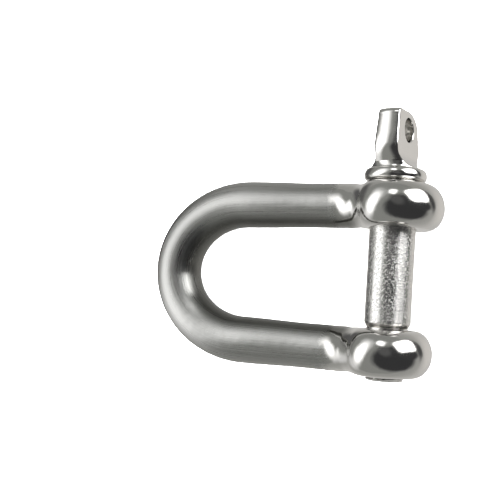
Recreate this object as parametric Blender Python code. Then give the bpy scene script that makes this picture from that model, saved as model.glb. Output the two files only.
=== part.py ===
"""Screw-pin dee shackle, M10 size: a round bar bent to a D with two disc eyes, and a screw pin.

Metres, +Z up. The shackle lies on its side: the pin's axis runs along Y with the pin's tab at
+Y, the legs run along X with the bow at -X, and Z is the normal of the D's plane. The origin is
at the middle of the bounding box's underside. Each eye sits a little ahead of or behind its bore,
and reaches less far towards its leg than away from it, as forged eyes do.
"""

import math

import bmesh
import bpy
from mathutils import Matrix, Vector

# Driving dimensions.
LEG_DIAMETER = 0.0097
BOW_DIAMETER = 0.0104
JAW_GAP = 0.0208
INSIDE_LENGTH = 0.0416
BOW_DEPTH = 0.0180
EYE_THICKNESS = 0.0097
PLAIN_EYE_DIAMETER = 0.0204
PLAIN_EYE_OFFSET = 0.0003
THREADED_EYE_DIAMETER = 0.0198
THREADED_EYE_OFFSET = -0.00045
EYE_REACH = 0.0080
EYE_ROUNDING = 0.0038
NECK_FILLET = 0.0050
PLAIN_BORE_DIAMETER = 0.0101
THREADED_BORE_DIAMETER = 0.0096
BORE_CHAMFER = 0.0003
PIN_DIAMETER = 0.0096
THREAD_DIAMETER = 0.0089
SHOULDER_LENGTH = 0.0015
PIN_END_PROUD = 0.0009
PIN_END_CHAMFER = 0.0005
COLLAR_DIAMETER = 0.0130
COLLAR_THICKNESS = 0.0027
COLLAR_ROUNDING = 0.0012
COLLAR_CROWN = 0.0015
COLLAR_LIP_WIDTH = 0.0009
COLLAR_DISH_HEIGHT = 0.0012
COLLAR_GAP = 0.0001
STEM_WAIST_DIAMETER = 0.0104
TAB_HEIGHT = 0.0122
TAB_WIDTH = 0.0130
TAB_THICKNESS = 0.0052
TAB_CORNER = 0.0022
TAB_SHOULDER_RADIUS = 0.0065
TAB_TAPER_HEIGHT = 0.0060
TAB_SCOOP = 0.0032
TAB_SCOOP_LIFT = 0.00005
TAB_HOLE_DIAMETER = 0.0050
TAB_HOLE_BELOW_TOP = 0.0039

# Worked out from them.
LEG_RADIUS = LEG_DIAMETER / 2
BOW_RADIUS = BOW_DIAMETER / 2
PIN_RADIUS = PIN_DIAMETER / 2
THREAD_RADIUS = THREAD_DIAMETER / 2
LEG_OFFSET = (JAW_GAP + EYE_THICKNESS) / 2
EYE_OUTER_FACE = JAW_GAP / 2 + EYE_THICKNESS
BOW_START = INSIDE_LENGTH + PIN_RADIUS + BOW_RADIUS - BOW_DEPTH
MEAN_EYE_RADIUS = (PLAIN_EYE_DIAMETER + THREADED_EYE_DIAMETER) / 4
COLLAR_BOTTOM = EYE_OUTER_FACE + COLLAR_GAP
COLLAR_TOP = COLLAR_BOTTOM + COLLAR_THICKNESS
TAB_TOP = COLLAR_TOP + TAB_HEIGHT
SHOULDER_TOP = SHOULDER_LENGTH - JAW_GAP / 2
PIN_END = -EYE_OUTER_FACE - PIN_END_PROUD

# Where the pin's axis and the middle of the jaw gap lie, with the origin under the box's middle.
LENGTH_AHEAD_OF_PIN = PLAIN_EYE_DIAMETER / 2 + PLAIN_EYE_OFFSET
LENGTH_BEHIND_PIN = BOW_START + BOW_DEPTH + BOW_RADIUS
PIN_CENTRE = Vector((
    (LENGTH_BEHIND_PIN - LENGTH_AHEAD_OF_PIN) / 2,
    -(TAB_TOP + PIN_END) / 2,
    PLAIN_EYE_DIAMETER / 2,
))

# Where the bar's sections lie near each eye: on the neck's fillet, and the root inside the eye.
NECK_START = -0.0125
NECK_END = -0.0072
ROOT_PLACE = -0.0040
ROOT_SHARE = 0.85
NECK_WIDTH_SHARE = 0.97

# Mesh fineness.
BAR_SIDES = 28
LEG_RINGS = 6
NECK_RINGS = 5
BOW_RINGS = 34
TURNED_SIDES = 44
ARC_STEPS = 6
SCOOP_STEPS = 8
SHOULDER_START_DEGREES = 97.0
HOLE_SIDES = 28
HALVINGS = 40
CUT_BEYOND = 0.001


def clear_scene():
    for old in list(bpy.data.objects):
        bpy.data.objects.remove(old, do_unlink=True)


def make_material(name, colour, roughness):
    material = bpy.data.materials.new(name)
    material.use_nodes = True
    shader = material.node_tree.nodes["Principled BSDF"]
    shader.inputs["Base Color"].default_value = (*colour, 1.0)
    shader.inputs["Metallic"].default_value = 1.0
    shader.inputs["Roughness"].default_value = roughness
    return material


def object_from(mesh_data, name, location, material=None):
    """A mesh object made from a bmesh, at a place in the part's frame."""
    bmesh.ops.recalc_face_normals(mesh_data, faces=mesh_data.faces)
    mesh = bpy.data.meshes.new(name)
    mesh_data.to_mesh(mesh)
    mesh_data.free()
    made = bpy.data.objects.new(name, mesh)
    made.location = location
    bpy.context.scene.collection.objects.link(made)
    if material:
        mesh.materials.append(material)
    return made


def make_cutter(cutter):
    cutter.hide_render = True
    cutter.display_type = "WIRE"


def combine(target, other, operation):
    """Adds or cuts away another object, which stays in the file as a hidden guide."""
    boolean = target.modifiers.new(f"{operation.title()} {other.name}", "BOOLEAN")
    boolean.operation = operation
    boolean.solver = "EXACT"
    boolean.object = other
    make_cutter(other)


def smooth(made, sharp_degrees=35):
    made.data.shade_smooth()
    made.data.set_sharp_from_angle(angle=math.radians(sharp_degrees))


def arc(centre, radii, start_degrees, end_degrees, steps=ARC_STEPS):
    """Points along an arc of a circle or an ellipse, as (radius, height) pairs."""
    angles = [start_degrees + (end_degrees - start_degrees) * i / steps for i in range(steps + 1)]
    return [
        (
            centre[0] + radii[0] * math.cos(math.radians(a)),
            centre[1] + radii[1] * math.sin(math.radians(a)),
        )
        for a in angles
    ]


def turned(profile, sides=TURNED_SIDES):
    """A solid of revolution about Y from (radius, y) points that start and end on the axis."""
    shape = bmesh.new()
    points = [shape.verts.new((radius, y, 0.0)) for radius, y in profile]
    edges = [shape.edges.new(pair) for pair in zip(points, points[1:])]
    bmesh.ops.spin(
        shape,
        geom=points + edges,
        cent=(0.0, 0.0, 0.0),
        axis=(0.0, 1.0, 0.0),
        angle=math.tau,
        steps=sides,
        use_merge=True,
    )
    bmesh.ops.remove_doubles(shape, verts=shape.verts, dist=1e-6)
    return shape


def ring_points(centre, across, half_across, half_up):
    """Points of one oval section of the bar, whose height is along Z."""
    up = Vector((0.0, 0.0, 1.0))
    points = []
    for i in range(BAR_SIDES):
        angle = math.tau * i / BAR_SIDES
        points.append(centre + across * half_across * math.cos(angle) + up * half_up * math.sin(angle))
    return points


def bar_radius(x):
    """The bar is a little thinner along the legs than round the bow."""
    share = min(max(-2 * x / BOW_START - 1, 0.0), 1.0)
    return LEG_RADIUS + (BOW_RADIUS - LEG_RADIUS) * share * share * (3 - 2 * share)


def neck_half_depth(x):
    """How far the neck reaches to each side at x, on the fillet between the leg and the eye's rim."""
    low = 0.0
    high = MEAN_EYE_RADIUS
    for _ in range(HALVINGS):
        middle = (low + high) / 2
        from_bar = middle - LEG_RADIUS
        outwards = math.hypot(x / EYE_REACH, middle / MEAN_EYE_RADIUS)
        slope = math.hypot(x / EYE_REACH**2, middle / MEAN_EYE_RADIUS**2)
        from_eye = outwards * (outwards - 1) / slope
        blend = math.hypot(max(NECK_FILLET - from_bar, 0.0), max(NECK_FILLET - from_eye, 0.0))
        if max(NECK_FILLET, min(from_bar, from_eye)) < blend:
            low = middle
        else:
            high = middle
    return low


def neck_sections():
    """Sections from the root inside the eye, along the neck's fillet, to the plain leg."""
    sideways = Vector((0.0, 1.0, 0.0))
    root = Vector((ROOT_PLACE, LEG_OFFSET, 0.0))
    root_radius = LEG_RADIUS * ROOT_SHARE
    sections = [ring_points(root, sideways, root_radius, root_radius)]
    for i in range(NECK_RINGS):
        x = NECK_END + (NECK_START - NECK_END) * i / (NECK_RINGS - 1)
        place = Vector((x, LEG_OFFSET, 0.0))
        sections.append(ring_points(place, sideways, LEG_RADIUS * NECK_WIDTH_SHARE, neck_half_depth(x)))
    return sections


def leg_sections():
    """Sections along the straight part of a leg."""
    sections = []
    for i in range(1, LEG_RINGS + 1):
        x = NECK_START - (BOW_START + NECK_START) * i / (LEG_RINGS + 1)
        radius = bar_radius(x)
        sections.append(ring_points(Vector((x, LEG_OFFSET, 0.0)), Vector((0.0, 1.0, 0.0)), radius, radius))
    return sections


def bow_sections():
    """Sections round one half of the bow, whose centre line is half an ellipse, to its crown."""
    sections = []
    for i in range(BOW_RINGS // 2 + 1):
        angle = math.radians(90.0 + 90.0 * i / (BOW_RINGS // 2))
        along = -BOW_START + BOW_DEPTH * math.cos(angle)
        place = Vector((along, LEG_OFFSET * math.sin(angle), 0.0))
        outward = Vector((math.cos(angle) / BOW_DEPTH, math.sin(angle) / LEG_OFFSET, 0.0))
        sections.append(ring_points(place, outward.normalized(), BOW_RADIUS, BOW_RADIUS))
    return sections


def bar_sections():
    """Every section of the bent bar, from one eye round the bow to the other."""
    half = neck_sections() + leg_sections() + bow_sections()
    other = [[Vector((p.x, -p.y, p.z)) for p in ring] for ring in reversed(half[:-1])]
    return half + other


def bent_bar():
    """The round bar with both its roots inside the eyes, and each neck deeper than the bar."""
    shape = bmesh.new()
    rings = [[shape.verts.new(point) for point in ring] for ring in bar_sections()]
    for before, after in zip(rings, rings[1:]):
        for i in range(BAR_SIDES):
            j = (i + 1) % BAR_SIDES
            shape.faces.new((before[i], before[j], after[j], after[i]))
    shape.faces.new(rings[0])
    shape.faces.new(rings[-1])
    return shape


def eye_shape(diameter):
    """A disc with flat faces and a rounded rim, which reaches less far towards its leg."""
    half = EYE_THICKNESS / 2
    rim = diameter / 2
    flat = rim - EYE_ROUNDING
    lower = arc((flat, 0.0), (EYE_ROUNDING, half), -90.0, 0.0, ARC_STEPS + 1)
    upper = arc((flat, 0.0), (EYE_ROUNDING, half), 0.0, 90.0, ARC_STEPS + 1)
    shape = turned([(0.0, -half)] + lower + upper[1:] + [(0.0, half)])
    for point in shape.verts:
        if point.co.x < 0:
            point.co.x *= EYE_REACH / rim
    return shape


def bore_profile(diameter):
    """A bore with a small chamfer at each face, as the solid that is cut away."""
    half = EYE_THICKNESS / 2
    radius = diameter / 2
    beyond = half + CUT_BEYOND
    wide = radius + BORE_CHAMFER
    return [
        (0.0, -beyond),
        (wide, -beyond),
        (wide, -half),
        (radius, -half + BORE_CHAMFER),
        (radius, half - BORE_CHAMFER),
        (wide, half),
        (wide, beyond),
        (0.0, beyond),
    ]


def make_body(material):
    body = object_from(bent_bar(), "shackle_body", PIN_CENTRE, material)
    eyes = (
        ("plain_eye", PLAIN_EYE_DIAMETER, PLAIN_EYE_OFFSET, PLAIN_BORE_DIAMETER, LEG_OFFSET),
        ("threaded_eye", THREADED_EYE_DIAMETER, THREADED_EYE_OFFSET, THREADED_BORE_DIAMETER, -LEG_OFFSET),
    )
    for name, diameter, ahead, _, sideways in eyes:
        place = PIN_CENTRE + Vector((ahead, sideways, 0.0))
        combine(body, object_from(eye_shape(diameter), name, place), "UNION")
    for name, _, _, bore, sideways in eyes:
        place = PIN_CENTRE + Vector((0.0, sideways, 0.0))
        cutter = object_from(turned(bore_profile(bore)), f"{name}_bore", place)
        combine(body, cutter, "DIFFERENCE")
    smooth(body)
    return body


def pin_profile():
    """The pin as turned: threaded end, shank, collar with a dished top, and the tab's stem."""
    collar = COLLAR_DIAMETER / 2
    lip = collar - COLLAR_LIP_WIDTH
    waist = STEM_WAIST_DIAMETER / 2
    stem = TAB_WIDTH / 2
    rim_centre = (collar - COLLAR_ROUNDING, COLLAR_BOTTOM + COLLAR_ROUNDING)
    lower_rim = arc(rim_centre, (COLLAR_ROUNDING, COLLAR_ROUNDING), -90.0, 0.0)
    upper_rim = arc((lip, COLLAR_TOP - COLLAR_CROWN), (COLLAR_LIP_WIDTH, COLLAR_CROWN), 0.0, 90.0)
    dish = arc((lip, COLLAR_TOP + COLLAR_DISH_HEIGHT), (lip - waist, COLLAR_DISH_HEIGHT), 270.0, 180.0)
    crown = arc((stem - TAB_CORNER, TAB_TOP - TAB_CORNER), (TAB_CORNER,) * 2, 0.0, 90.0)
    return (
        [(0.0, PIN_END)]
        + [(THREAD_RADIUS - PIN_END_CHAMFER, PIN_END)]
        + [(THREAD_RADIUS, PIN_END + PIN_END_CHAMFER)]
        + [(THREAD_RADIUS, -JAW_GAP / 2)]
        + [(PIN_RADIUS, SHOULDER_TOP)]
        + [(PIN_RADIUS, COLLAR_BOTTOM)]
        + lower_rim
        + upper_rim
        + dish[1:]
        + [(stem, TAB_TOP - TAB_TAPER_HEIGHT)]
        + crown
        + [(0.0, TAB_TOP)]
    )


def prism(corners, vector):
    """A solid made by pushing a flat outline along a vector."""
    shape = bmesh.new()
    face = shape.faces.new([shape.verts.new(corner) for corner in corners])
    swept = bmesh.ops.extrude_face_region(shape, geom=[face])
    moved = [item for item in swept["geom"] if isinstance(item, bmesh.types.BMVert)]
    bmesh.ops.translate(shape, verts=moved, vec=vector)
    return shape


def flat_cutter(side):
    """What is milled off one side of the stem: a flat face that scoops out to the collar's lip."""
    face = TAB_THICKNESS / 2
    beyond = COLLAR_DIAMETER
    above = TAB_TOP + CUT_BEYOND
    lowest = COLLAR_TOP + TAB_SCOOP_LIFT
    outline = [(face, above)]
    outline += arc((face + TAB_SCOOP, lowest + TAB_SCOOP), (TAB_SCOOP,) * 2, 180.0, 270.0, SCOOP_STEPS)
    outline += [(beyond, lowest), (beyond, above)]
    return prism([(side * x, y, beyond) for x, y in outline], (0.0, 0.0, -2 * beyond))


def shoulder_cutter():
    """What is rounded off the tab's top corner on its -Z side, which is rounder than the other.

    The arc starts a little past the top, so that the cut doesn't graze the flat face there.
    """
    beyond = COLLAR_DIAMETER
    above = TAB_TOP + CUT_BEYOND
    centre = (0.0, TAB_TOP - TAB_SHOULDER_RADIUS)
    outline = arc(centre, (TAB_SHOULDER_RADIUS,) * 2, SHOULDER_START_DEGREES, 180.0, SCOOP_STEPS)
    outline += [(-beyond, centre[1]), (-beyond, above), (outline[0][0], above)]
    return prism([(-beyond, y, z) for z, y in outline], (2 * beyond, 0.0, 0.0))


def hole_cutter():
    """The tab's hole, through it along X."""
    shape = bmesh.new()
    bmesh.ops.create_cone(
        shape,
        cap_ends=True,
        segments=HOLE_SIDES,
        radius1=TAB_HOLE_DIAMETER / 2,
        radius2=TAB_HOLE_DIAMETER / 2,
        depth=COLLAR_DIAMETER,
        matrix=Matrix.Translation((0.0, TAB_TOP - TAB_HOLE_BELOW_TOP, 0.0))
        @ Matrix.Rotation(math.pi / 2, 4, "Y"),
    )
    return shape


def make_pin(material):
    pin = object_from(turned(pin_profile()), "screw_pin", PIN_CENTRE, material)
    for name, side in (("tab_flat_front", 1.0), ("tab_flat_back", -1.0)):
        combine(pin, object_from(flat_cutter(side), name, PIN_CENTRE), "DIFFERENCE")
    combine(pin, object_from(shoulder_cutter(), "tab_shoulder", PIN_CENTRE), "DIFFERENCE")
    combine(pin, object_from(hole_cutter(), "tab_hole", PIN_CENTRE), "DIFFERENCE")
    smooth(pin)
    return pin


def main():
    clear_scene()
    make_body(make_material("satin stainless bar", (0.50, 0.50, 0.49), 0.32))
    make_pin(make_material("polished stainless pin", (0.62, 0.61, 0.60), 0.12))


main()
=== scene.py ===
"""Looks of a screw-pin dee shackle in polished and satin stainless steel, round its CAD frame."""

import math

import bpy
import numpy as np
from mathutils import Matrix, Vector


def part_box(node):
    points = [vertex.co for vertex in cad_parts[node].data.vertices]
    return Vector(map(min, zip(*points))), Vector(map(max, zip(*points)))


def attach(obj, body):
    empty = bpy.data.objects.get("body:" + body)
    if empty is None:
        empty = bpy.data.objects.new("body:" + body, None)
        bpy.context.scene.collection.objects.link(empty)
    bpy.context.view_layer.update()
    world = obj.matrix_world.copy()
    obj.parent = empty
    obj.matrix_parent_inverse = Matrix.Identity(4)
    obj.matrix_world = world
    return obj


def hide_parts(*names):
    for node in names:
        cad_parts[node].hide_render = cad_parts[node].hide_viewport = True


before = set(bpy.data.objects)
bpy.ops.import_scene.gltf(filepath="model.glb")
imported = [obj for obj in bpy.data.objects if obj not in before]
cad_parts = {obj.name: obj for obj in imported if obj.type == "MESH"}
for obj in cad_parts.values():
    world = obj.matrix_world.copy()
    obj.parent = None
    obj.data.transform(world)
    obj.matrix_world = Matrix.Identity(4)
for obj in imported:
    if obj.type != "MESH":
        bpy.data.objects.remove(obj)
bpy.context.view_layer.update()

MM = 0.001

# Places read from the frame, in millimetres round the pin's axis and the middle of the jaw gap.
body_low, body_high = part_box("shackle_body")
pin_low, pin_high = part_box("screw_pin")
PIN_CENTRE = Vector((
    (pin_low.x + pin_high.x) / 2,
    (body_low.y + body_high.y) / 2,
    (pin_low.z + pin_high.z) / 2,
))
EYE_TIP = (body_high.x - PIN_CENTRE.x) / MM
CROWN = (PIN_CENTRE.x - body_low.x) / MM
TAB_TOP = (pin_high.y - PIN_CENTRE.y) / MM
PIN_END = (pin_low.y - PIN_CENTRE.y) / MM
COLLAR_RADIUS = (pin_high.x - pin_low.x) / MM / 2

# Sizes of the shackle body, in millimetres.
LEG_RADIUS = 4.85
BOW_RADIUS = 5.2
BOW_DEPTH = 18.0
BOW_START = CROWN - BOW_RADIUS - BOW_DEPTH
JAW_GAP = 20.8
EYE_HALF = 4.85
LEG_OFFSET = JAW_GAP / 2 + EYE_HALF
PLAIN_EYE_OFFSET = 0.3
PLAIN_EYE_RADIUS = EYE_TIP - PLAIN_EYE_OFFSET
THREADED_EYE_OFFSET = -0.45
THREADED_EYE_RADIUS = 9.9
EYE_REACH = 8.0
EYE_ROUNDING = 3.8
EYE_DROOP_START = 2.0
EYE_DROOP_PER_SQUARE = 0.006
NECK_FILLET = 4.2
NECK_ROOT = -7.2
NECK_ROOT_EASE = 1.6
NECK_NARROWING = 0.4
NECK_NARROWING_START = -9.0
NECK_NARROWING_LENGTH = 3.0
CREASE_FILLET = 1.2
SPOT_FACE_RADIUS = 9.0
SPOT_FACE_DEPTH = 0.06
PLAIN_BORE_RADIUS = 5.05
BORE_EDGE = 0.35
CUT_BEYOND = 1.0

# Sizes of the threads, in millimetres. The steepness is that of their flanks, for a pitch of 2.
THREAD_PITCH = 1.5
THREAD_STEEPNESS = 2.5
THREAD_CREST = 4.45
THREAD_ROOT = 3.75
THREAD_TOP = -JAW_GAP / 2 - 0.6
THREAD_RUNOUT = 1.2
NUT_CREST = 4.62
NUT_ROOT = 5.3
COUNTERSINK_RADIUS = NUT_ROOT + 0.1
COUNTERSINK_DEPTH = COUNTERSINK_RADIUS - NUT_CREST

# Sizes of the pin, in millimetres.
TIP_MIDDLE_RADIUS = 0.15
TIP_DIMPLE = 0.02
TIP_CHAMFER_WIDTH = 0.75
TIP_CHAMFER_HEIGHT = 0.6
RELIEF_RADIUS = 4.25
RELIEF_EDGE = 0.4
SHANK_RADIUS = 4.8
SHOULDER_TOP = 1.5 - JAW_GAP / 2
SHOULDER_LENGTH = 1.3
COLLAR_BOTTOM = JAW_GAP / 2 + 2 * EYE_HALF + 0.1
COLLAR_TOP = COLLAR_BOTTOM + 2.7
COLLAR_RIM = 1.2
COLLAR_CROWN = 1.5
COLLAR_CROWN_END_DEGREES = 80
LIP_RADIUS = COLLAR_RADIUS - 0.9
LIP_EDGE = 0.08
DISH_HEIGHT = 1.2
DISH_START_DEGREES = 272
WAIST_RADIUS = 5.2
STEM_RADIUS = 6.6
TAB_HALF = 2.6
TAB_SCOOP = 3.2
TAB_CORNER = 1.3
TAB_CORNER_END_DEGREES = 88
TAB_ROUNDING = 0.6
TAB_TAPER_LENGTH = 7.6
TAB_TAPER_BEND = 2.2
TAB_TAPER_SLOPE = 0.14
TAB_FOOT = TAB_TOP - TAB_TAPER_LENGTH
TAB_THINNING = 0.2
TAB_EDGE = 0.35
TAB_MIDDLE_RADIUS = 0.2
TAB_SHOULDER_RADIUS = 6.5
TAB_SHOULDER_LIMIT = 0.98 * TAB_SHOULDER_RADIUS
TAB_TURN_DEGREES = -4.0
NO_FLAT = 99.0
HOLE_RADIUS = 2.5
HOLE_HEIGHT = TAB_TOP - 3.9
HOLE_EDGE = 0.4

# How finely the shapes are drawn: numbers of sides, sections and steps, and lengths in millimetres.
BODY_SIDES = 144
TURNED_SIDES = 96
SPOT_FACE_SIDES = 160
HOLE_SIDES = 72
EYE_SECTIONS = 66
EYE_FIRST_DEGREES = 1.2
EYE_LAST_DEGREES = 118.0
NECK_SECTIONS = 60
NECK_GAP = 0.2
NECK_LAST = -17.0
LEG_SECTIONS = 34
LEG_FIRST = -17.4
BOW_SECTIONS = 150
EDGE_STEPS = 6
COLLAR_STEPS = 12
CROWN_STEPS = 14
SHOULDER_STEPS = 10
SWELL_STEPS = 10
TAPER_STEPS = 20
PROFILE_STEP = 0.3
NUT_STEP = 0.1
FLAT_STEPS = 24
CORNER_STEPS = 12
CORNER_SPREAD_DEGREES = 16
CORNER_LEAST_DEGREES = 8
CORNER_LEAST_COSINE = 0.05
TAB_SIDES_START = 2.0
HALVINGS = 34
RAY_LENGTH = 14.0
RAY_FAN = 0.7
RAY_FAN_START = -13.0
RAY_FAN_LENGTH = 6.0
SHARP_DEGREES = 32
NEARLY_NOTHING = 1e-6


# Mesh tools.


def object_from_grid(name, rows):
    """A closed mesh from rings of points in millimetres, each end closed by a fan to its middle."""
    rings, sides = rows.shape[:2]
    points = np.concatenate([rows.reshape(-1, 3), [rows[0].mean(0), rows[-1].mean(0)]])
    around = np.arange(sides)
    beside = np.roll(around, -1)
    faces = []
    for ring in range(rings - 1):
        first = ring * sides + around
        after = ring * sides + beside
        faces += np.stack([first, after, after + sides, first + sides], axis=1).tolist()
    last = (rings - 1) * sides
    faces += np.stack([beside, around, np.full(sides, rings * sides)], axis=1).tolist()
    faces += np.stack([last + around, last + beside, np.full(sides, rings * sides + 1)], axis=1).tolist()
    mesh = bpy.data.meshes.new(name)
    mesh.from_pydata((points * MM).tolist(), [], faces)
    mesh.update()
    lay_lines(mesh, rows)
    made = bpy.data.objects.new(name, mesh)
    made.location = PIN_CENTRE
    bpy.context.scene.collection.objects.link(made)
    return made


def lay_lines(mesh, rows):
    """A map of the surface in metres: along the rings first, then round each of them."""
    rings, sides = rows.shape[:2]
    middle = rows.mean(1)
    along = np.concatenate([[0.0], np.cumsum(np.linalg.norm(np.diff(middle, axis=0), axis=1))])
    around = np.linspace(0, math.tau * LEG_RADIUS, sides + 1)
    corners = np.empty((rings - 1, sides, 4, 2))
    for corner, (ring_step, side_step) in enumerate(((0, 0), (0, 1), (1, 1), (1, 0))):
        corners[:, :, corner, 0] = along[ring_step:rings - 1 + ring_step, None]
        corners[:, :, corner, 1] = around[None, side_step:sides + side_step]
    end_fans = np.zeros((2 * sides * 3, 2))
    places = np.concatenate([corners.reshape(-1, 2), end_fans]) * MM
    layer = mesh.uv_layers.new(name="lines")
    layer.data.foreach_set("uv", places.ravel())


def face_outwards(made):
    """Turns the faces round if the closed mesh is inside out."""
    corners = np.array([v.co for v in made.data.vertices])
    made.data.calc_loop_triangles()
    triangles = corners[np.array([t.vertices for t in made.data.loop_triangles])]
    volume = np.einsum("ij,ij->i", triangles[:, 0], np.cross(triangles[:, 1], triangles[:, 2])).sum()
    if volume < 0:
        made.data.flip_normals()


def cut(target, cutters):
    """Cuts closed shapes out of a mesh, one after another, and removes them."""
    for cutter in cutters:
        modifier = target.modifiers.new("cut", "BOOLEAN")
        modifier.operation = "DIFFERENCE"
        modifier.solver = "MANIFOLD"
        modifier.object = cutter
    apply_modifiers(target)
    for cutter in cutters:
        bpy.data.objects.remove(cutter, do_unlink=True)


def apply_modifiers(target):
    """Replaces a mesh by what its modifiers make of it."""
    bpy.context.view_layer.update()
    graph = bpy.context.evaluated_depsgraph_get()
    evaluated = bpy.data.meshes.new_from_object(target.evaluated_get(graph))
    target.modifiers.clear()
    target.data = evaluated


def finish_surface(made):
    """Shades a mesh smooth, except along its sharp edges."""
    made.data.shade_smooth()
    made.data.set_sharp_from_angle(angle=math.radians(SHARP_DEGREES))


def arc(centre, radii, start_degrees, end_degrees, steps):
    """Points along an arc of a circle or an ellipse, as (radius, height) pairs."""
    angles = np.radians(np.linspace(start_degrees, end_degrees, steps + 1))
    return [(centre[0] + radii[0] * math.cos(a), centre[1] + radii[1] * math.sin(a)) for a in angles]


def densify(profile, step):
    """The same profile with points no further apart than a step."""
    dense = [profile[0]]
    for (r0, y0), (r1, y1) in zip(profile, profile[1:]):
        pieces = max(1, math.ceil(math.hypot(r1 - r0, y1 - y0) / step))
        for i in range(1, pieces + 1):
            share = i / pieces
            dense.append((r0 + (r1 - r0) * share, y0 + (y1 - y0) * share))
    return np.array(dense)


def turned(name, profile, offset_y, sides=TURNED_SIDES, reshape=None):
    """A closed solid of revolution about the pin's axis, whose radii a function may reshape."""
    angles = np.linspace(0, math.tau, sides, endpoint=False)
    radius = np.repeat(profile[:, :1], sides, axis=1)
    height = np.repeat(profile[:, 1:], sides, axis=1) + offset_y
    if reshape:
        radius = reshape(radius, height, angles)
    rows = np.stack([radius * np.sin(angles), height, radius * np.cos(angles)], axis=-1)
    made = object_from_grid(name, rows)
    face_outwards(made)
    return made


def thread_ridge(phase):
    """How far up a thread's flank a point is, 0 at the root and 1 at the crest, through one pitch."""
    return np.clip(THREAD_STEEPNESS * (0.5 - np.abs(2 * phase - 1)), 0, 1)


# Shackle body.


def bar_radius(x):
    """The bar thickens along the second half of each leg, towards the bow."""
    share = np.clip((-x - BOW_START / 2) / (BOW_START / 2), 0, 1)
    return LEG_RADIUS + (BOW_RADIUS - LEG_RADIUS) * share * share * (3 - 2 * share)


def bar_distance(points, side, height):
    """Distance to a leg, whose oval section is this high, and which ends inside its eye."""
    x = points[..., 0]
    narrowed = np.clip((x - NECK_NARROWING_START) / NECK_NARROWING_LENGTH, 0, 1)
    width = bar_radius(x) - NECK_NARROWING * narrowed
    across = (points[..., 1] - side * LEG_OFFSET) / width
    up = points[..., 2] / height
    whole = np.hypot(across, up)
    slope = np.hypot(across / width, up / height)
    return np.maximum(whole * (whole - 1) / np.maximum(slope, NEARLY_NOTHING), x + LEG_RADIUS / 2)


def eye_distance(points, side, radius, offset):
    """Distance to a disc eye with flat faces, a rounded rim and a shorter reach towards its leg."""
    flat = radius - EYE_ROUNDING
    x = points[..., 0] - offset
    stretch = np.where(x < 0, radius / EYE_REACH, 1.0)
    outwards = np.maximum(np.hypot(x * stretch, points[..., 2]), NEARLY_NOTHING)
    steepness = np.hypot(x * stretch**2, points[..., 2]) / outwards
    out = np.maximum(outwards - flat, 0)
    across = points[..., 1] - side * LEG_OFFSET
    whole = np.hypot(out / EYE_ROUNDING, across / EYE_HALF)
    slope = np.hypot(steepness * out / EYE_ROUNDING**2, across / EYE_HALF**2)
    return whole * (whole - 1) / np.maximum(slope, NEARLY_NOTHING)


def filleted(a, b, radius):
    """The union of two shapes, with a round fillet where they meet."""
    both = np.hypot(np.maximum(radius - a, 0), np.maximum(radius - b, 0))
    return np.maximum(radius, np.minimum(a, b)) - both


def soft_minimum(a, b, width):
    """The smaller of two sizes, rounded where they are equal."""
    share = np.clip(0.5 + 0.5 * (b - a) / width, 0, 1)
    return b * (1 - share) + a * share - width * share * (1 - share)


def halve(inside, shape):
    """The distance along each ray at which it leaves a shape, by halving."""
    low = np.zeros(shape)
    high = np.full(shape, RAY_LENGTH)
    for _ in range(HALVINGS):
        middle = (low + high) / 2
        is_inside = inside(middle)
        low = np.where(is_inside, middle, low)
        high = np.where(is_inside, high, middle)
    return low


def neck_height(places, side, eye_radius, eye_offset):
    """How far the neck's fillet lifts the leg's section at each place, on its way up to the eye."""
    plain = bar_radius(places)

    def inside(height):
        points = np.stack([places, np.full(len(places), side * LEG_OFFSET), height], axis=-1)
        bar = bar_distance(points, side, plain)
        return filleted(bar, eye_distance(points, side, eye_radius, eye_offset), NECK_FILLET) < 0

    return np.maximum(halve(inside, len(places)), plain)


def leg_places(eye_radius, eye_offset):
    """Where the sections lie, from the eye's tip to the start of the bow, closest in the neck."""
    turns = np.linspace(EYE_FIRST_DEGREES, EYE_LAST_DEGREES, EYE_SECTIONS)
    eye = eye_offset + eye_radius * np.cos(np.radians(turns))
    neck = np.linspace(eye[-1] - NECK_GAP, NECK_LAST, NECK_SECTIONS)
    leg = np.linspace(LEG_FIRST, -BOW_START, LEG_SECTIONS, endpoint=False)
    return np.concatenate([eye, neck, leg])


def leg_sections(side, eye_radius, eye_offset, angles):
    """Sections across one eye and its leg. Their rays fan out more where the neck is tall."""
    places = leg_places(eye_radius, eye_offset)
    neck = soft_minimum(places, NECK_ROOT, NECK_ROOT_EASE)
    height = neck_height(neck, side, eye_radius, eye_offset)[:, None]
    fan = 1 + RAY_FAN * np.clip((places - RAY_FAN_START) / RAY_FAN_LENGTH, 0, 1)
    across = np.cos(angles)[None, :] + 0 * places[:, None]
    up = np.sin(angles)[None, :] * fan[:, None]
    length = np.hypot(across, up)
    across, up = across / length, up / length

    def at(distance):
        along = np.repeat(places[:, None], len(angles), axis=1)
        return np.stack([along, side * (LEG_OFFSET + distance * across), distance * up], axis=-1)

    def inside(distance):
        points = at(distance)
        eye = eye_distance(points, side, eye_radius, eye_offset)
        return filleted(bar_distance(points, side, height), eye, CREASE_FILLET) < 0

    return at(halve(inside, across.shape))


def drooped(sections):
    """The plain eye, whose tip was forged a little nearer to the other eye."""
    past = np.maximum(sections[..., 0] - EYE_DROOP_START, 0)
    sections[..., 1] -= EYE_DROOP_PER_SQUARE * past**2
    return sections


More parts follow.
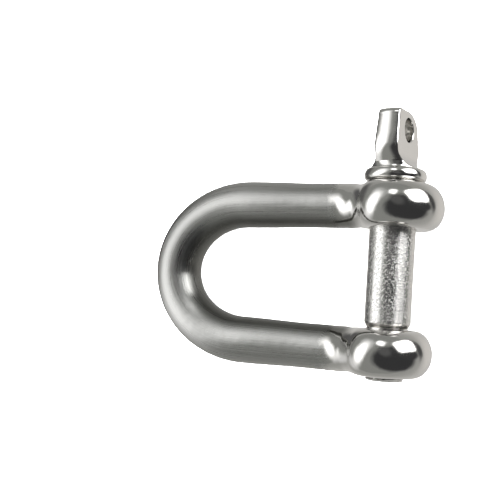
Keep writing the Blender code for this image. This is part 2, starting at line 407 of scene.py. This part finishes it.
def bow_sections(angles):
    """Sections round the bow, whose centre line is half an ellipse."""
    turns = np.radians(np.linspace(90, 270, BOW_SECTIONS))
    centre = np.stack([-BOW_START + BOW_DEPTH * np.cos(turns), LEG_OFFSET * np.sin(turns)], axis=-1)
    outward = np.stack([np.cos(turns) / BOW_DEPTH, np.sin(turns) / LEG_OFFSET], axis=-1)
    outward /= np.linalg.norm(outward, axis=1, keepdims=True)
    flat = centre[:, None, :] + outward[:, None, :] * (BOW_RADIUS * np.cos(angles))[None, :, None]
    height = np.broadcast_to(BOW_RADIUS * np.sin(angles), flat.shape[:2])
    return np.concatenate([flat, height[..., None]], axis=-1)


def bore_profile(radius, half, edge):
    """A bore's wall with a rounded edge at each face, as the solid that is cut away."""
    outer = radius + edge
    wall = [(outer, -half - CUT_BEYOND)]
    wall += arc((outer, -half + edge), (edge, edge), 270, 180, EDGE_STEPS)
    wall += arc((outer, half - edge), (edge, edge), 180, 90, EDGE_STEPS)
    wall += [(outer, half + CUT_BEYOND)]
    return np.array(wall)


def plain_bore():
    """The plain eye's bore, through which the shank passes."""
    return turned("plain_bore", bore_profile(PLAIN_BORE_RADIUS, EYE_HALF, BORE_EDGE), LEG_OFFSET)


def nut_thread(radius, height, angles):
    """The tapped hole's wall, from which the female thread's ridges stand in."""
    phase = (height / THREAD_PITCH - angles / math.tau + 0.5) % 1.0
    return np.maximum(radius, NUT_ROOT - (NUT_ROOT - NUT_CREST) * thread_ridge(phase))


def threaded_bore():
    """The tapped hole, with a countersink at each face."""
    half = [
        (NUT_CREST, EYE_HALF - COUNTERSINK_DEPTH),
        (COUNTERSINK_RADIUS, EYE_HALF),
        (COUNTERSINK_RADIUS, EYE_HALF + CUT_BEYOND),
    ]
    other_half = [(radius, -height) for radius, height in reversed(half)]
    profile = densify(other_half + half, NUT_STEP)
    return turned("threaded_bore", profile, -LEG_OFFSET, reshape=nut_thread)


def spot_face():
    """The cutter that faced both jaws, and left a small flat on each leg beside its eye."""
    half = JAW_GAP / 2 + SPOT_FACE_DEPTH
    profile = np.array([(SPOT_FACE_RADIUS, -half), (SPOT_FACE_RADIUS, half)])
    return turned("spot_face", profile, 0.0, SPOT_FACE_SIDES)


def make_body():
    """One bar from the plain eye, round the bow, to the threaded eye, faced and bored."""
    angles = np.linspace(0, math.tau, BODY_SIDES, endpoint=False)
    plain_leg = drooped(leg_sections(1, PLAIN_EYE_RADIUS, PLAIN_EYE_OFFSET, angles))
    threaded_leg = leg_sections(-1, THREADED_EYE_RADIUS, THREADED_EYE_OFFSET, angles)
    rows = np.concatenate([plain_leg, bow_sections(angles), threaded_leg[::-1]])
    body = object_from_grid("forged_body", rows)
    face_outwards(body)
    cut(body, [spot_face(), plain_bore(), threaded_bore()])
    finish_surface(body)
    return body


# Pin.


def threaded_end_profile():
    """The chamfered tip, the thread's outside, the relief and the rounded shoulder of the shank."""
    profile = [(TIP_MIDDLE_RADIUS, PIN_END + TIP_DIMPLE)]
    profile += [(THREAD_CREST - TIP_CHAMFER_WIDTH, PIN_END)]
    profile += [(THREAD_CREST, PIN_END + TIP_CHAMFER_HEIGHT)]
    edge = (THREAD_CREST - RELIEF_RADIUS, RELIEF_EDGE)
    profile += arc((THREAD_CREST, THREAD_TOP + RELIEF_EDGE), edge, 270, 180, EDGE_STEPS)
    for share in np.linspace(0, 1, SHOULDER_STEPS + 1):
        widened = (SHANK_RADIUS - RELIEF_RADIUS) * (1 - math.cos(math.pi * share)) / 2
        profile += [(RELIEF_RADIUS + widened, SHOULDER_TOP - SHOULDER_LENGTH * (1 - share))]
    return profile + [(SHANK_RADIUS, COLLAR_BOTTOM)]


def collar_profile():
    """The collar's rim and crown, and the dish between its lip and the stem's waist."""
    rim_centre = (COLLAR_RADIUS - COLLAR_RIM, COLLAR_BOTTOM + COLLAR_RIM)
    profile = arc(rim_centre, (COLLAR_RIM, COLLAR_RIM), -90, 0, COLLAR_STEPS)
    crown_centre = (LIP_RADIUS, COLLAR_TOP - COLLAR_CROWN)
    crown = (COLLAR_RADIUS - LIP_RADIUS, COLLAR_CROWN)
    profile += arc(crown_centre, crown, 0, COLLAR_CROWN_END_DEGREES, CROWN_STEPS)
    inner_lip = LIP_RADIUS - LIP_EDGE
    dish = (inner_lip - WAIST_RADIUS, DISH_HEIGHT + LIP_EDGE)
    dish_centre = (inner_lip, COLLAR_TOP + DISH_HEIGHT)
    return profile + arc(dish_centre, dish, DISH_START_DEGREES, 180, COLLAR_STEPS)


def tab_taper(height):
    """How much nearer the axis the tab's narrow sides come as they lean in towards its top."""
    climb = height - TAB_FOOT
    bend = min(max(climb / TAB_TAPER_BEND, 0), 1)
    return TAB_TAPER_SLOPE * (bend * bend * TAB_TAPER_BEND / 2 + max(climb - TAB_TAPER_BEND, 0))


def stem_profile():
    """The stem's swell from its waist, the tab's tapered sides, and its rounded top."""
    profile = []
    waist_top = COLLAR_TOP + DISH_HEIGHT
    for share in np.linspace(0, 1, SWELL_STEPS + 1)[1:-1]:
        widened = (STEM_RADIUS - WAIST_RADIUS) * math.sin(math.pi / 2 * share)
        profile += [(WAIST_RADIUS + widened, waist_top + (TAB_FOOT - waist_top) * share)]
    corner_bottom = TAB_TOP - TAB_CORNER
    for height in np.linspace(TAB_FOOT, corner_bottom, TAPER_STEPS, endpoint=False):
        profile += [(STEM_RADIUS - tab_taper(height), height)]
    corner_centre = (STEM_RADIUS - tab_taper(corner_bottom) - TAB_CORNER, corner_bottom)
    profile += arc(corner_centre, (TAB_CORNER, TAB_CORNER), 0, TAB_CORNER_END_DEGREES, CROWN_STEPS)
    return profile + [(TAB_MIDDLE_RADIUS, TAB_TOP)]


def pin_thread(radius, height, angles):
    """The pin's right-hand thread, which runs out just below the relief."""
    phase = (height / THREAD_PITCH - angles / math.tau) % 1.0
    depth = (THREAD_CREST - THREAD_ROOT) * np.clip((THREAD_TOP - height) / THREAD_RUNOUT, 0, 1)
    threaded = THREAD_CREST - depth * (1 - thread_ridge(phase))
    return np.where(height < THREAD_TOP, np.minimum(radius, threaded), radius)


def flat_limit(height):
    """How far each milled flat of the tab leaves the metal from the pin's axis."""
    scoop_top = COLLAR_TOP + TAB_SCOOP
    down = np.clip((scoop_top - height) / TAB_SCOOP, 0, 1)
    limit = TAB_HALF + TAB_SCOOP * (1 - np.sqrt(1 - down**2))
    limit = np.where(height < COLLAR_TOP, NO_FLAT, limit)
    limit = limit - TAB_THINNING * np.clip((height - TAB_FOOT) / TAB_TAPER_LENGTH, 0, 1)
    near_top = np.clip((height - TAB_TOP + TAB_EDGE) / TAB_EDGE, 0, 1)
    return limit - TAB_EDGE * (1 - np.sqrt(1 - near_top**2))


def tab_angles(edge):
    """Angles round a section, close together where a flat meets the round stem."""
    spread = np.minimum(math.radians(CORNER_SPREAD_DEGREES), edge / 2)[:, None]
    edge = edge[:, None]
    flat_shares = np.linspace(0, 1, FLAT_STEPS, endpoint=False)
    corner_shares = np.linspace(0, 1, CORNER_STEPS, endpoint=False)
    quarter = np.concatenate([
        (edge - spread) * flat_shares,
        edge - spread + 2 * spread * corner_shares,
        edge + spread + (math.pi / 2 - edge - spread) * flat_shares,
    ], axis=1)
    back = math.pi - quarter[:, ::-1]
    half = np.concatenate([quarter, np.full((len(edge), 1), math.pi / 2), back[:, :-1]], axis=1)
    return np.concatenate([half, half + math.pi], axis=1)


def pin_angles(radius, height, limit):
    """Evenly spaced angles below the collar's top, which move to the tab's own above it."""
    largest_cosine = math.cos(math.radians(CORNER_LEAST_DEGREES))
    edge = np.arccos(np.clip(limit / radius, CORNER_LEAST_COSINE, largest_cosine))
    on_tab = tab_angles(edge)
    even = np.linspace(0, math.tau, on_tab.shape[1], endpoint=False)
    share = np.clip((height - COLLAR_TOP + TAB_SIDES_START) / TAB_SIDES_START, 0, 1)[:, None]
    return even * (1 - share) + on_tab * share


def shoulder_drop(z):
    """How much lower the tab's top lies towards -Z, where its corner is rounded off."""
    past = np.clip(-z, 0, TAB_SHOULDER_LIMIT)
    return TAB_SHOULDER_RADIUS - np.sqrt(TAB_SHOULDER_RADIUS**2 - past**2)


def hole_cutter():
    """The tab's hole along X, with both edges rounded."""
    cutter = turned("hole", bore_profile(HOLE_RADIUS, TAB_HALF, HOLE_EDGE), 0.0, HOLE_SIDES)
    quarter_turn = Matrix.Rotation(math.pi / 2, 4, "Z")
    cutter.data.transform(Matrix.Translation((0, HOLE_HEIGHT * MM, 0)) @ quarter_turn)
    return cutter


def pin_rows():
    """The pin's rings: turned, threaded, milled to two flats, and with one shoulder of the tab low."""
    profile = densify(threaded_end_profile() + collar_profile() + stem_profile(), PROFILE_STEP)
    limit = flat_limit(profile[:, 1])
    angles = pin_angles(profile[:, 0], profile[:, 1], limit)
    radius = profile[:, :1] + 0 * angles
    height = profile[:, 1:] + 0 * angles
    radius = pin_thread(radius, height, angles)
    flat = limit[:, None] / np.maximum(np.abs(np.cos(angles)), NEARLY_NOTHING)
    radius = soft_minimum(radius, flat, TAB_ROUNDING)
    z = -radius * np.sin(angles)
    height -= np.maximum(height - TAB_FOOT, 0) * shoulder_drop(z) / TAB_TAPER_LENGTH
    return np.stack([radius * np.cos(angles), height, z], axis=-1)


def make_pin():
    """One piece from the threaded end to the tab, turned a little on its axis as in the photo."""
    pin = object_from_grid("forged_pin", pin_rows())
    face_outwards(pin)
    cut(pin, [hole_cutter()])
    pin.data.transform(Matrix.Rotation(math.radians(TAB_TURN_DEGREES), 4, "Y"))
    finish_surface(pin)
    return pin


# Node trees, of materials and of the world.


class NodeTree:
    """A short way to add and join nodes."""

    def __init__(self, tree):
        self.tree = tree

    def add(self, kind, **settings):
        node = self.tree.nodes.new(kind)
        for key, value in settings.items():
            setattr(node, key, value)
        return node

    def feed(self, value, socket):
        """Gives a socket a number, a colour or what another socket puts out."""
        if isinstance(value, tuple):
            socket.default_value = (*value, 1.0)
        elif isinstance(value, (int, float)):
            socket.default_value = value
        else:
            self.tree.links.new(value, socket)

    def math(self, operation, *values):
        node = self.add("ShaderNodeMath", operation=operation)
        for value, socket in zip(values, node.inputs):
            self.feed(value, socket)
        return node.outputs[0]

    def ramp(self, value, from_range, to_range=(0.0, 1.0)):
        node = self.add("ShaderNodeMapRange", interpolation_type="SMOOTHSTEP")
        ends = ("From Min", "From Max", "To Min", "To Max")
        for end, number in zip(ends, (*from_range, *to_range)):
            node.inputs[end].default_value = number
        self.feed(value, node.inputs["Value"])
        return node.outputs["Result"]

    def mix(self, factor, a, b):
        """The first colour where the factor is 0 and the second where it is 1."""
        node = self.add("ShaderNodeMix", data_type="RGBA")
        factor_input, a_input, b_input = node.inputs[0], node.inputs[6], node.inputs[7]
        for value, socket in ((factor, factor_input), (a, a_input), (b, b_input)):
            self.feed(value, socket)
        return node.outputs[2]


class Steel(NodeTree):
    """A metal's node tree, with its place in metres from the pin's centre."""

    def __init__(self, name):
        self.material = bpy.data.materials.new(name)
        self.material.use_nodes = True
        super().__init__(self.material.node_tree)
        self.place = self.add("ShaderNodeTexCoord").outputs["Object"]
        split = self.add("ShaderNodeSeparateXYZ")
        self.feed(self.place, split.inputs[0])
        self.x, self.y, _ = split.outputs
        self.set("Metallic", 1.0)

    def set(self, name, value):
        """Sets or links one of the shader's own sockets."""
        self.feed(value, self.tree.nodes["Principled BSDF"].inputs[name])

    def stretched(self, vector, scale):
        mapping = self.add("ShaderNodeMapping")
        mapping.inputs["Scale"].default_value = scale
        self.feed(vector, mapping.inputs["Vector"])
        return mapping.outputs["Vector"]

    def noise(self, vector, scale=1.0, detail=3.0, roughness=0.5):
        node = self.add("ShaderNodeTexNoise")
        node.inputs["Scale"].default_value = scale
        node.inputs["Detail"].default_value = detail
        node.inputs["Roughness"].default_value = roughness
        self.feed(vector, node.inputs["Vector"])
        return node.outputs["Fac"]

    def bump(self, height, strength, distance, below=None):
        node = self.add("ShaderNodeBump")
        node.inputs["Distance"].default_value = distance
        self.feed(strength, node.inputs["Strength"])
        self.feed(height, node.inputs["Height"])
        if below is not None:
            self.feed(below, node.inputs["Normal"])
        return node.outputs["Normal"]


# Materials. Colours are of bare steel, except the painted shade on the inner side of the D. Places are in
# millimetres, bumps' distances are in metres, and noise scales are in waves per metre.

POLISHED_BODY_COLOURS = ((0.66, 0.65, 0.62), (0.73, 0.72, 0.71))
BRUSHED_BODY_COLOURS = ((0.33, 0.33, 0.315), (0.57, 0.57, 0.56))
# Colour of the painted shade on the inner side of the D.
PAINTED_SHADE_COLOUR = (0.12, 0.12, 0.11)
PIN_COLOURS = ((0.68, 0.67, 0.64), (0.76, 0.75, 0.74))
SATIN_ENDS = (-13.0, -10.4)
SATIN_WANDER = (-1.0, 1.0)
SATIN_ANISOTROPY = 0.75
# Where the painted shade on the inner side of the D lies along the bar, how dark it gets, and how far in
# from the centre line it starts.
PAINTED_SHADE_ENDS = (-9.0, -5.0)
PAINTED_SHADE_SHARE = 0.8
PAINTED_SHADE_BEND = (0.72, 0.87)
SHANK_LOW_END = (-10.6, -8.6)
SHANK_HIGH_END = (19.0, 20.4)
SHANK_ROUGHNESS = 0.13
POLISHED_ROUGHNESS = (0.07, 0.14)
SATIN_ROUGHNESS = (0.26, 0.36)
PIN_ROUGHNESS = (0.08, 0.13)
PIN_ANISOTROPY = (0.4, 0.97)
NOISE_RANGE = (0.3, 0.7)
WANDER_SCALE = 260.0
CLOUDS_SCALE = 160.0
PIN_CLOUDS_SCALE = 170.0
SMUDGES_SCALE = 90.0
SMUDGES_RANGE = (0.35, 0.75)
PEEL_SCALE = 420.0
PEEL_DISTANCE = 0.0002
BODY_PEEL_STRENGTH = 0.2
PIN_PEEL_STRENGTH = 0.1
PITS_SCALE = 2600.0
PITS_RANGE = (0.5, 0.66)
PITS_STRENGTH = 0.5
PITS_DISTANCE = 0.00008
LINES_STRENGTH = 0.35
LINES_DISTANCE = 0.00006
RINGS_STRENGTH = (0.08, 0.35)
RINGS_DISTANCE = 0.00005
LINES_PER_METRE = (55, 3400, 1)
RINGS_PER_METRE = (700, 3200, 700)
QUARTER_TURN = 0.25


def millimetres(pair):
    return tuple(length * MM for length in pair)


def inside_the_bend(made):
    """1 on the bar's centre line, and less towards the inside of the D."""
    past_legs = made.math("MINIMUM", made.math("ADD", made.x, BOW_START * MM), 0.0)
    along = made.math("DIVIDE", past_legs, BOW_DEPTH * MM)
    across = made.math("DIVIDE", made.y, LEG_OFFSET * MM)
    squares = made.math("ADD", made.math("MULTIPLY", along, along), made.math("MULTIPLY", across, across))
    return made.math("SQRT", squares)


def painted_inner_shade(made):
    """Painted shade: how much darker the inner side of the D is drawn, where shade falls."""
    on_bar = made.ramp(made.x, millimetres(PAINTED_SHADE_ENDS), (PAINTED_SHADE_SHARE, 0.0))
    inner_side = made.ramp(inside_the_bend(made), PAINTED_SHADE_BEND, (1.0, 0.0))
    return made.math("MULTIPLY", inner_side, on_bar)


def body_material():
    """Satin bar with fine lengthwise lines, turning to mirror polish at the necks and eyes, with painted
    shade on the inner side of the D.
    """
    made = Steel("satin and polished stainless")
    wander = made.ramp(made.noise(made.place, WANDER_SCALE), NOISE_RANGE, millimetres(SATIN_WANDER))
    satin = made.ramp(made.math("ADD", made.x, wander), millimetres(SATIN_ENDS), (1.0, 0.0))
    surface = made.add("ShaderNodeUVMap", uv_map="lines").outputs["UV"]
    lines = made.noise(made.stretched(surface, LINES_PER_METRE), detail=4.0, roughness=0.6)
    clouds = made.noise(made.place, CLOUDS_SCALE, roughness=0.55)
    smudges = made.noise(made.place, SMUDGES_SCALE, detail=4.0, roughness=0.6)
    orange_peel = made.noise(made.place, PEEL_SCALE, detail=2.0)

    polished_colour = made.mix(clouds, *POLISHED_BODY_COLOURS)
    brushed_colour = made.mix(lines, *BRUSHED_BODY_COLOURS)
    unshaded_colour = made.mix(satin, polished_colour, brushed_colour)
    # Painted shade: the inner side of the D is mixed towards a dark colour.
    made.set("Base Color", made.mix(painted_inner_shade(made), unshaded_colour, PAINTED_SHADE_COLOUR))

    polished_roughness = made.ramp(smudges, SMUDGES_RANGE, POLISHED_ROUGHNESS)
    satin_roughness = made.ramp(lines, NOISE_RANGE, SATIN_ROUGHNESS)
    rougher = made.math("SUBTRACT", satin_roughness, polished_roughness)
    made.set("Roughness", made.math("ADD", polished_roughness, made.math("MULTIPLY", rougher, satin)))

    made.set("Anisotropic", made.math("MULTIPLY", satin, SATIN_ANISOTROPY))
    made.set("Anisotropic Rotation", QUARTER_TURN)
    grain = made.add("ShaderNodeTangent", direction_type="UV_MAP", uv_map="lines")
    made.set("Tangent", grain.outputs[0])

    peel = made.bump(orange_peel, BODY_PEEL_STRENGTH, PEEL_DISTANCE)
    brushing = made.bump(lines, made.math("MULTIPLY", satin, LINES_STRENGTH), LINES_DISTANCE, peel)
    made.set("Normal", brushing)
    return made.material


def pin_material():
    """Polished pin that keeps faint turning marks round it, and has a lightly pitted shank."""
    made = Steel("polished stainless")
    above = made.ramp(made.y, millimetres(SHANK_LOW_END))
    below = made.ramp(made.y, millimetres(SHANK_HIGH_END), (1.0, 0.0))
    shank = made.math("MULTIPLY", above, below)
    pits = made.ramp(made.noise(made.place, PITS_SCALE, detail=2.0, roughness=0.6), PITS_RANGE)
    rings = made.noise(made.stretched(made.place, RINGS_PER_METRE), roughness=0.6)
    orange_peel = made.noise(made.place, PEEL_SCALE, detail=2.0)
    clouds = made.noise(made.place, PIN_CLOUDS_SCALE, roughness=0.55)

    made.set("Base Color", made.mix(clouds, *PIN_COLOURS))
    cloudy = made.ramp(clouds, NOISE_RANGE, PIN_ROUGHNESS)
    made.set("Roughness", made.math("ADD", cloudy, made.math("MULTIPLY", shank, SHANK_ROUGHNESS)))

    made.set("Anisotropic", made.ramp(shank, (0.0, 1.0), PIN_ANISOTROPY))
    made.set("Anisotropic Rotation", QUARTER_TURN)
    turning = made.add("ShaderNodeTangent", direction_type="RADIAL", axis="Y")
    made.set("Tangent", turning.outputs[0])

    peel = made.bump(orange_peel, PIN_PEEL_STRENGTH, PEEL_DISTANCE)
    marks = made.bump(rings, made.ramp(shank, (0.0, 1.0), RINGS_STRENGTH), RINGS_DISTANCE, peel)
    pitted = made.bump(pits, made.math("MULTIPLY", shank, PITS_STRENGTH), PITS_DISTANCE, marks)
    made.set("Normal", pitted)
    return made.material


# Surroundings.


def direction(azimuth_degrees, elevation_degrees):
    """A direction from the object: azimuth 0 is towards -Y, 90 towards +X."""
    azimuth = math.radians(azimuth_degrees)
    elevation = math.radians(elevation_degrees)
    flat = math.cos(elevation)
    return Vector((math.sin(azimuth) * flat, -math.cos(azimuth) * flat, math.sin(elevation)))


class Surroundings(NodeTree):
    """The studio as the metal reflects it: soft-edged patches laid one over another on the sky."""

    def __init__(self, colour):
        self.world = bpy.data.worlds.new("studio")
        self.world.use_nodes = True
        super().__init__(self.world.node_tree)
        self.way = self.add("ShaderNodeTexCoord").outputs["Generated"]
        self.colour = colour

    def part_along(self, axis):
        node = self.add("ShaderNodeVectorMath", operation="DOT_PRODUCT")
        self.feed(self.way, node.inputs[0])
        node.inputs[1].default_value = axis
        return node.outputs["Value"]

    def patch(self, at, half_size, softness, colour, turn=0.0, squareness=2):
        """Lays a patch at an azimuth and elevation, so many degrees wide and high, with a soft edge."""
        towards = direction(*at)
        sideways = direction(at[0] + 90, 0)
        upwards = -towards.cross(sideways)
        roll = Matrix.Rotation(math.radians(turn), 3, towards)
        distances = []
        for axis, half in zip((sideways, upwards), half_size):
            part = self.part_along((roll @ axis) / math.sin(math.radians(half)))
            distances.append(self.math("POWER", self.math("ABSOLUTE", part), squareness))
        distance = self.math("POWER", self.math("ADD", *distances), 1.0 / squareness)
        soft_share = softness / min(half_size)
        fade = self.ramp(distance, (1.0 + soft_share, 1.0 - soft_share))
        in_front = self.math("GREATER_THAN", self.part_along(towards), 0.0)
        self.colour = self.mix(self.math("MULTIPLY", fade, in_front), self.colour, colour)

    def finish(self, seen_colour):
        """Makes this the scene's world, which the camera itself sees as one plain colour."""
        seen = self.add("ShaderNodeLightPath").outputs["Is Camera Ray"]
        colour = self.mix(seen, self.colour, seen_colour)
        self.feed(colour, self.tree.nodes["Background"].inputs["Color"])
        bpy.context.scene.world = self.world


def grey(level, red=1.0, blue=1.0):
    return (level * red, level, level * blue)


def make_surroundings():
    studio = Surroundings(grey(0.30, red=0.98, blue=0.95))
    # The pale ground, brighter to the right, and the darker part of the room to the left of it.
    studio.patch(at=(70, -90), half_size=(62, 62), softness=26, colour=grey(0.60, red=1.02, blue=0.97))
    studio.patch(at=(95, -58), half_size=(28, 20), softness=13, colour=grey(0.74, red=1.03, blue=0.96))
    studio.patch(at=(-108, -18), half_size=(26, 20), softness=8, colour=grey(0.12))
    # The dark room behind the camera, and the dark bands round the large softbox.
    studio.patch(at=(68, 42), half_size=(50, 52), softness=6, colour=grey(0.045, blue=1.04))
    studio.patch(at=(92, 8), half_size=(15, 26), softness=4, colour=grey(0.05, blue=1.04))
    studio.patch(at=(122, 66), half_size=(20, 14), softness=6, colour=grey(0.11))
    studio.patch(at=(112, -23), half_size=(28, 8), softness=4, colour=grey(0.08), turn=15)
    # Two pale walls, the wide lamp to the left, and the two softboxes.
    studio.patch(at=(-138, 40), half_size=(16, 13), softness=11, colour=grey(0.9))
    studio.patch(at=(-62, -4), half_size=(16, 14), softness=9, colour=grey(0.8))
    studio.patch(at=(-90, 41), half_size=(37, 18), softness=9, colour=grey(2.3), turn=-35)
    studio.patch(at=(124, 11), half_size=(19, 22), softness=5, colour=grey(6.0), squareness=4)
    studio.patch(at=(170, 46), half_size=(8, 9), softness=4, colour=grey(2.6), squareness=3)
    studio.finish(grey(1.0))


# The floor and its light, in metres and watts.

FLOOR_RADIUS = 0.8
FLOOR_SIDES = 96
FLOOR_GREY = 0.9
FLOOR_ROUGHNESS = 0.9
FLOOR_LIGHT_SIZE = 1.2
FLOOR_LIGHT_HEIGHT = 0.5
FLOOR_LIGHT_POWER = 45.0


def make_floor():
    bpy.ops.mesh.primitive_circle_add(vertices=FLOOR_SIDES, radius=FLOOR_RADIUS, fill_type="NGON")
    floor = bpy.context.object
    floor.name = "floor"
    material = bpy.data.materials.new("pale floor")
    material.use_nodes = True
    shader = material.node_tree.nodes["Principled BSDF"]
    shader.inputs["Base Color"].default_value = (*grey(FLOOR_GREY), 1.0)
    shader.inputs["Roughness"].default_value = FLOOR_ROUGHNESS
    floor.data.materials.append(material)
    floor.visible_glossy = False


def make_floor_light():
    """One wide lamp overhead, which keeps the floor white and isn't reflected in the metal."""
    lamp = bpy.data.lights.new("floor_light", "AREA")
    lamp.shape = "DISK"
    lamp.size = FLOOR_LIGHT_SIZE
    lamp.energy = FLOOR_LIGHT_POWER
    made = bpy.data.objects.new("floor_light", lamp)
    made.location = (0.0, 0.0, FLOOR_LIGHT_HEIGHT)
    made.visible_camera = False
    made.visible_glossy = False
    bpy.context.scene.collection.objects.link(made)


# The camera looks along the D's normal, from a little towards the eyes, at a point inside the bow.
# Its lens, distance and aim are in millimetres, its turns in degrees and its clipping in metres.

CAMERA_LENS = 61.8
CAMERA_DISTANCE = 194.1
CAMERA_AIM = Vector((-33.17, 4.97, 0.0))
CAMERA_ROUND_PIN = 27.67
CAMERA_BELOW = 3.0
CAMERA_ROLL = 3.75
CAMERA_CLIP_START = 0.005


def make_camera():
    camera = bpy.data.cameras.new("camera")
    camera.lens = CAMERA_LENS
    camera.clip_start = CAMERA_CLIP_START
    made = bpy.data.objects.new("camera", camera)
    bpy.context.scene.collection.objects.link(made)
    turn = Matrix.Rotation(math.radians(CAMERA_ROUND_PIN), 3, "Y")
    dip = Matrix.Rotation(math.radians(CAMERA_BELOW), 3, "X")
    roll = Matrix.Rotation(math.radians(CAMERA_ROLL), 3, "Z")
    facing = turn @ dip @ roll
    aim = PIN_CENTRE + CAMERA_AIM * MM
    made.matrix_world = Matrix.Translation(aim + facing.col[2] * CAMERA_DISTANCE * MM) @ facing.to_4x4()
    bpy.context.scene.camera = made


def dress(piece, body, node, material):
    """Gives a piece its material and its body, and hides the CAD node that it stands for."""
    piece.data.materials.clear()
    piece.data.materials.append(material)
    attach(piece, body)
    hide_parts(node)


dress(make_body(), "shackle", "shackle_body", body_material())
dress(make_pin(), "pin", "screw_pin", pin_material())
make_floor()
make_surroundings()
make_floor_light()
make_camera()
bpy.context.scene.view_settings.view_transform = "Standard"
